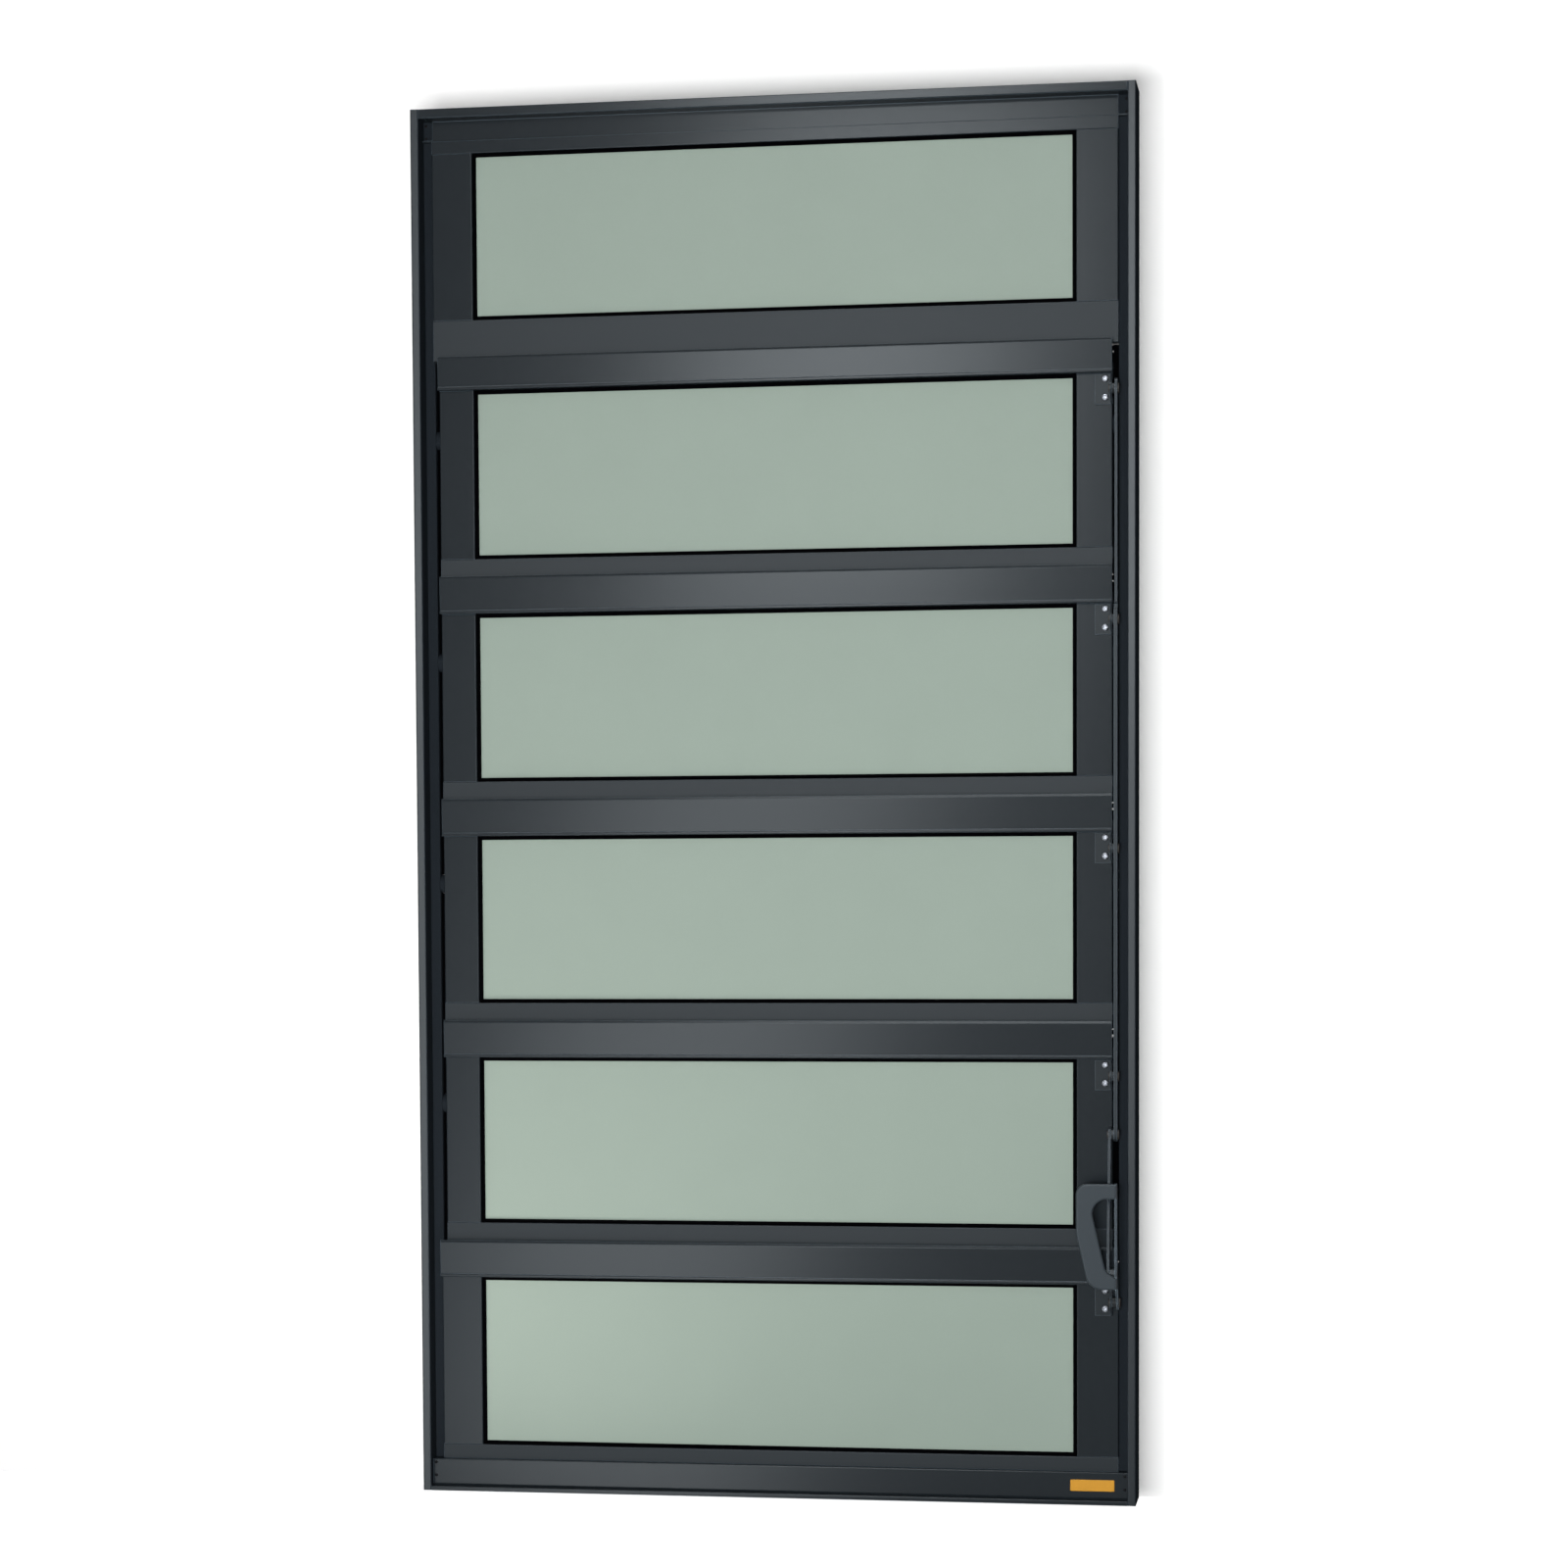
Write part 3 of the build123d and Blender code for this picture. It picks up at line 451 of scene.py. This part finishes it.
def rubber(name, colour):
    """Matt black rubber with a faint bloom and extrusion lines."""
    finish = Finish(bpy.data.materials.new(name))
    place = finish.place()
    bloom = finish.noise(place, scale=90.0)
    lines = finish.noise(place, scale=2200.0)
    tone = finish.mix(bloom, rgba(colour, 0.8), rgba(colour, 1.5))
    normal = finish.bump(lines, strength=0.25, distance=0.04)
    return finish.end(finish.surface(Base_Color=tone, Roughness=0.85 + (bloom - 0.5) * 0.2,
                                     Specular_IOR_Level=0.0, Normal=normal))


def black_pile(name, colour):
    """Black woven pile: dark tufts with paler tips and a coarse bump."""
    finish = Finish(bpy.data.materials.new(name))
    place = finish.place()
    tufts = finish.noise(place, scale=1300.0, detail=3.0, roughness=0.7)
    tone = finish.mix(tufts, rgba(colour, 0.6), rgba(colour, 2.2))
    normal = finish.bump(tufts, strength=0.6, distance=0.15)
    return finish.end(finish.surface(Base_Color=tone, Roughness=0.9 + (tufts - 0.5) * 0.15,
                                     Specular_IOR_Level=0.03, Normal=normal))


def bright_zinc(name, colour):
    """Bright zinc plate on a driven screw: bluish cloudy metal, dulled in patches."""
    finish = Finish(bpy.data.materials.new(name))
    place = finish.place()
    cloud = finish.noise(place, scale=700.0, detail=3.0)
    tone = finish.mix(cloud, rgba(colour, 0.75), rgba(colour, 1.15))
    normal = finish.bump(finish.noise(place, scale=2600.0), strength=0.3, distance=0.04)
    return finish.end(finish.surface(Base_Color=tone, Roughness=0.3 + cloud * 0.2, Metallic=1.0, Normal=normal))


def amber_film(name, colour):
    """Blank amber sticker: coated film with a slightly paler, rubbed surface."""
    finish = Finish(bpy.data.materials.new(name))
    place = finish.place()
    rub = finish.noise(place, scale=320.0, detail=4.0, roughness=0.65)
    fade = finish.noise(place, scale=60.0)
    tone = finish.mix((rub * 0.6 + fade * 0.4).clamp(), rgba(colour, 0.78), rgba(colour, 1.2))
    normal = finish.bump(rub, strength=0.3, distance=0.06)
    return finish.end(finish.surface(Base_Color=tone, Roughness=0.4 + rub * 0.2,
                                     Specular_IOR_Level=0.2, Normal=normal))


def seen_directly(finish):
    """One for camera, mirror and see-through rays, zero for rays that only carry light."""
    rays = ("Is Camera Ray", "Is Glossy Ray", "Is Transmission Ray")
    camera, mirror, through = (finish.node("ShaderNodeLightPath", output=ray) for ray in rays)
    return camera.greatest(mirror).greatest(through)


def studio_white(name, glow, one_sided=False):
    """Matt white that holds the window's shadow, lifted to white where it is seen directly."""
    finish = Finish(bpy.data.materials.new(name))
    matt = finish.node("ShaderNodeBsdfDiffuse", {}, {"Color": (0.8, 0.8, 0.8, 1)})
    strength = seen_directly(finish) * glow
    lift = finish.node("ShaderNodeEmission", {}, {"Color": (1, 1, 1, 1), "Strength": strength})
    white = finish.node("ShaderNodeAddShader", {}, {0: matt, 1: lift})
    if one_sided:
        behind = finish.node("ShaderNodeNewGeometry", output="Backfacing")
        white = finish.either(behind, white, finish.node("ShaderNodeBsdfTransparent"))
    return finish.end(white)


def dress(nodes, material):
    """Gives CAD nodes their finish."""
    for name in nodes:
        for slot in frame["nodes"][name].material_slots:
            slot.material = material


def nodes_of(slot):
    return [part["node"] for part in frame["record"]["subparts"] if part["material_slot"] == slot]


# Sizes and colours

class WindowSizes(bpy.types.PropertyGroup):
    """Sizes of the small fixings, held in metres"""
    screw_diameter: FloatProperty(
        name="Screw diameter", description="Across a bracket screw's pan head",
        default=6.1 * MM, min=1 * MM, precision=5, unit="LENGTH")
    screw_height: FloatProperty(
        name="Screw height", description="Height of a bracket screw's head",
        default=2.1 * MM, min=0.2 * MM, precision=5, unit="LENGTH")
    recess_depth: FloatProperty(
        name="Recess depth", description="Depth of the cross recess",
        default=1.3 * MM, min=0, precision=5, unit="LENGTH")
    rivet_diameter: FloatProperty(
        name="Rivet diameter", description="Across a corner rivet's head",
        default=2.6 * MM, min=0.5 * MM, precision=5, unit="LENGTH")
    sticker_width: FloatProperty(
        name="Sticker width", description="Length of the sill's sticker",
        default=37.8 * MM, min=1 * MM, precision=5, unit="LENGTH")
    sticker_height: FloatProperty(
        name="Sticker height", description="Height of the sill's sticker",
        default=9.9 * MM, min=1 * MM, precision=5, unit="LENGTH")


class WindowColours(bpy.types.PropertyGroup):
    """Colours of the finishes"""
    coat: FloatVectorProperty(
        name="Frame coat", description="Powder coat of frame and lights",
        default=(0.0094, 0.0124, 0.0151), min=0, max=1, subtype="COLOR")
    linkage: FloatVectorProperty(
        name="Linkage coat", description="Coat of brackets, bar, link and lever",
        default=(0.014, 0.018, 0.0215), min=0, max=1, subtype="COLOR")
    glass: FloatVectorProperty(
        name="Glass", description="Body of the satin glass",
        default=(0.242, 0.301, 0.259), min=0, max=1, subtype="COLOR")
    rubber: FloatVectorProperty(
        name="Rubber", description="Gaskets, side seals and their pile",
        default=(0.0008, 0.0008, 0.0011), min=0, max=1, subtype="COLOR")
    zinc: FloatVectorProperty(
        name="Zinc", description="Plate of the bracket screws",
        default=(0.29, 0.31, 0.345), min=0, max=1, subtype="COLOR")
    amber: FloatVectorProperty(
        name="Sticker", description="Film of the blank sticker",
        default=(0.5, 0.24, 0.02), min=0, max=1, subtype="COLOR")


# Operators

class WINDOW_OT_coat_frame(bpy.types.Operator):
    """Powder coat on the frame's sections and the lights' rails and stiles"""
    bl_idname = "pivot_window.coat_frame"
    bl_label = "Coat frame and lights"

    def execute(self, context):
        colour = context.scene.window_colours.coat
        for part, ends, roughness, gloss, shaded_zones in COATS:
            nodes = [node for node in nodes_of("frame_paint") if node.endswith(ends)]
            turning = [node for node in nodes if node.startswith(TURNING_LIGHTS)]
            # Outer sides, jamb and head recesses and the turning lights' cut ends get painted shade
            dress(nodes, powder_coat(f"{part}_coat", colour, roughness, gloss, shaded_zones=SHADED_OUTER_SIDES + shaded_zones))
            if turning:
                dress(turning, powder_coat(f"turning_{part}_coat", colour, roughness, gloss, shaded_zones=SHADED_CUT_ENDS))
        return {"FINISHED"}


class WINDOW_OT_coat_linkage(bpy.types.Operator):
    """Coat on brackets, link bar, connecting link and lever, with dark pin heads"""
    bl_idname = "pivot_window.coat_linkage"
    bl_label = "Coat linkage"

    def execute(self, context):
        colour = context.scene.window_colours.linkage
        for light, z in LINK_PINS.items():
            dress([f"light_{light}_bracket"],
                  powder_coat(f"bracket_{light}_coat", rgba(colour, BRACKET_TONE)[:3],
                              LINKAGE_ROUGHNESS, BRACKET_GLOSS, [(PIN_Y, z)]))
        bar_pins = [(PIN_Y, z) for light, z in LINK_PINS.items() if LIGHT_BODIES[light] != "frame"]
        for node, name, tone, pins in (
                ("lever", "lever_coat", LEVER_TONE, LEVER_PINS),
                ("link_bar", "bar_coat", 1.0, [*bar_pins, BAR_TAIL_PIN]),
                ("connecting_link", "link_coat", 1.0, [LEVER_PINS[1], BAR_TAIL_PIN])):
            dress([node], powder_coat(name, rgba(colour, tone)[:3], LINKAGE_ROUGHNESS, LINKAGE_GLOSS, pins))
        return {"FINISHED"}


class WINDOW_OT_glaze(bpy.types.Operator):
    """Satin glass in the six lights, black rubber in the glazing grooves and side gaps"""
    bl_idname = "pivot_window.glaze"
    bl_label = "Glaze and seal"

    def execute(self, context):
        colours = context.scene.window_colours
        dress(nodes_of("pane_glass"), satin_glass("satin_glass", colours.glass))
        dress(nodes_of("gasket_rubber"), rubber("black_rubber", colours.rubber))
        return {"FINISHED"}


class WINDOW_OT_pile_strips(bpy.types.Operator):
    """Strips of black pile along both side seals, from pivot to pivot"""
    bl_idname = "pivot_window.pile_strips"
    bl_label = "Pile strips"

    def execute(self, context):
        pile = black_pile("black_pile", context.scene.window_colours.rubber)
        clear = BOSS_RADIUS + BOSS_CLEARANCE
        lows = [SEAL_ENDS[0]] + [z + clear for z in PIVOT_HEIGHTS]
        highs = [z - clear for z in PIVOT_HEIGHTS] + [SEAL_ENDS[1]]
        for name, side in (("left_pile", -1), ("right_pile", 1)):
            piece = patch(name, [pile_strip(side, low, high) for low, high in zip(lows, highs)])
            piece.data.materials.append(pile)
            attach(piece, "frame")
        return {"FINISHED"}


class WINDOW_OT_bracket_screws(bpy.types.Operator):
    """Two cross-recessed pan head screws through each bracket's plate"""
    bl_idname = "pivot_window.bracket_screws"
    bl_label = "Bracket screws"

    def execute(self, context):
        sizes = context.scene.window_sizes
        zinc = bright_zinc("bright_zinc", context.scene.window_colours.zinc)
        head = [size / MM for size in (sizes.screw_diameter, sizes.screw_height, sizes.recess_depth)]
        for light, body in LIGHT_BODIES.items():
            piece = patch(f"light_{light}_screws",
                          [fixing_head(SCREW_X, PLATE_FRONT, LINK_PINS[light] + offset, *head, turn)
                           for offset, turn in zip(SCREWS_FROM_PIN, SCREW_TURNS[light])])
            piece.data.materials.append(zinc)
            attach(piece, body)
        return {"FINISHED"}


class WINDOW_OT_corner_rivets(bpy.types.Operator):
    """Small rivets that hold the jambs' ends to head and sill"""
    bl_idname = "pivot_window.corner_rivets"
    bl_label = "Corner rivets"

    def execute(self, context):
        diameter = context.scene.window_sizes.rivet_diameter / MM
        coat = powder_coat("rivet_coat", RIVET_COLOUR, roughness=0.5, gloss=0.08)
        heads = [fixing_head(x, face, z, diameter, RIVET_HEIGHT)
                 for face, rivets in ((NOTCH_FLOOR, HEAD_RIVETS), (SILL_FACE, SILL_RIVETS))
                 for x, z in rivets]
        piece = patch("corner_rivets", heads)
        piece.data.materials.append(coat)
        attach(piece, "frame")
        return {"FINISHED"}


class WINDOW_OT_sill_sticker(bpy.types.Operator):
    """Blank amber sticker at the right end of the sill"""
    bl_idname = "pivot_window.sill_sticker"
    bl_label = "Sill sticker"

    def execute(self, context):
        sizes = context.scene.window_sizes
        sheet = label_sheet(*STICKER_CENTRE, sizes.sticker_width / MM, sizes.sticker_height / MM,
                            STICKER_THICKNESS)
        piece = patch("sill_sticker", [sheet])
        piece.data.materials.append(amber_film("amber_film", context.scene.window_colours.amber))
        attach(piece, "frame")
        return {"FINISHED"}


class WINDOW_OT_studio(bpy.types.Operator):
    """White floor and backdrop, soft lamps and the camera"""
    bl_idname = "pivot_window.studio"
    bl_label = "Studio"

    def lamp(self, name, place, aim, width, height, power,
             lean=0.0, in_gloss=True, in_matt=True, colour=(1, 1, 1)):
        light = bpy.data.lights.new(name, "AREA")
        light.shape = "RECTANGLE"
        light.size = width
        light.size_y = height
        light.energy = power
        light.color = colour
        holder = add_object(name, light)
        facing = (Vector(aim) - Vector(place)).to_track_quat("-Z", "Y").to_matrix().to_4x4()
        holder.matrix_world = Matrix.Translation(place) @ facing @ Matrix.Rotation(math.radians(lean), 4, "Z")
        holder.visible_glossy = in_gloss
        holder.visible_diffuse = in_matt
        holder.visible_camera = False

    def camera(self):
        view = bpy.data.cameras.new("room_side")
        view.sensor_width = CAMERA_SENSOR
        view.lens = CAMERA_LENS
        view.shift_x, view.shift_y = CAMERA_SHIFT
        holder = add_object("room_side", view)
        turns = (CAMERA_YAW, "Z"), (90 + CAMERA_PITCH, "X"), (CAMERA_ROLL, "Z")
        yaw, pitch, roll = (Matrix.Rotation(math.radians(angle), 4, axis) for angle, axis in turns)
        holder.matrix_world = Matrix.Translation(CAMERA_PLACE) @ (yaw @ pitch) @ roll
        return holder

    def execute(self, context):
        scene = context.scene
        floor = stage_sheet("floor", (-STAGE_REACH, -STAGE_REACH, 0),
                            (2 * STAGE_REACH, 0, 0), (0, STAGE_REACH + FLOOR_EDGE, 0))
        floor.data.materials.append(studio_white("floor_white", FLOOR_GLOW))
        floor.visible_glossy = False
        floor.visible_shadow = False
        wall = stage_sheet("backdrop", (-STAGE_REACH, WALL_DEPTH, WALL_FOOT),
                           (2 * STAGE_REACH, 0, 0), (0, 0, STAGE_REACH - WALL_FOOT))
        wall.data.materials.append(studio_white("backdrop_white", WALL_GLOW, one_sided=True))
        wall.visible_shadow = False
        wall.visible_diffuse = False
        wall.visible_glossy = False

        sky = Finish(bpy.data.worlds.new("studio"))
        scene.world = sky.owner
        strength = SKY_LIGHT + (1 - SKY_LIGHT) * seen_directly(sky)
        light = sky.node("ShaderNodeBackground", {}, {"Color": (1, 1, 1, 1), "Strength": strength})
        sky.end(light, "ShaderNodeOutputWorld")

        for lamp in LAMPS:
            self.lamp(**lamp)
        scene.camera = self.camera()
        scene.view_settings.view_transform = "Standard"
        return {"FINISHED"}


OPERATORS = (
    WINDOW_OT_coat_frame,
    WINDOW_OT_coat_linkage,
    WINDOW_OT_glaze,
    WINDOW_OT_pile_strips,
    WINDOW_OT_bracket_screws,
    WINDOW_OT_corner_rivets,
    WINDOW_OT_sill_sticker,
    WINDOW_OT_studio,
)


class WINDOW_PT_window(bpy.types.Panel):
    bl_idname = "WINDOW_PT_window"
    bl_label = "Pivot window"
    bl_space_type = "VIEW_3D"
    bl_region_type = "UI"
    bl_category = "Window"

    def draw(self, context):
        for group in (context.scene.window_sizes, context.scene.window_colours):
            for name in group.__annotations__:
                self.layout.prop(group, name)
        for operator in OPERATORS:
            self.layout.operator(operator.bl_idname)


CLASSES = (WindowSizes, WindowColours, *OPERATORS, WINDOW_PT_window)


def register():
    for kind in CLASSES:
        bpy.utils.register_class(kind)
    bpy.types.Scene.window_sizes = PointerProperty(type=WindowSizes)
    bpy.types.Scene.window_colours = PointerProperty(type=WindowColours)


def unregister():
    del bpy.types.Scene.window_colours
    del bpy.types.Scene.window_sizes
    for kind in reversed(CLASSES):
        bpy.utils.unregister_class(kind)


def main():
    register()
    bpy.ops.pivot_window.coat_frame()
    bpy.ops.pivot_window.coat_linkage()
    bpy.ops.pivot_window.glaze()
    bpy.ops.pivot_window.pile_strips()
    bpy.ops.pivot_window.bracket_screws()
    bpy.ops.pivot_window.corner_rivets()
    bpy.ops.pivot_window.sill_sticker()
    bpy.ops.pivot_window.studio()


if __name__ == "__main__":
    main()
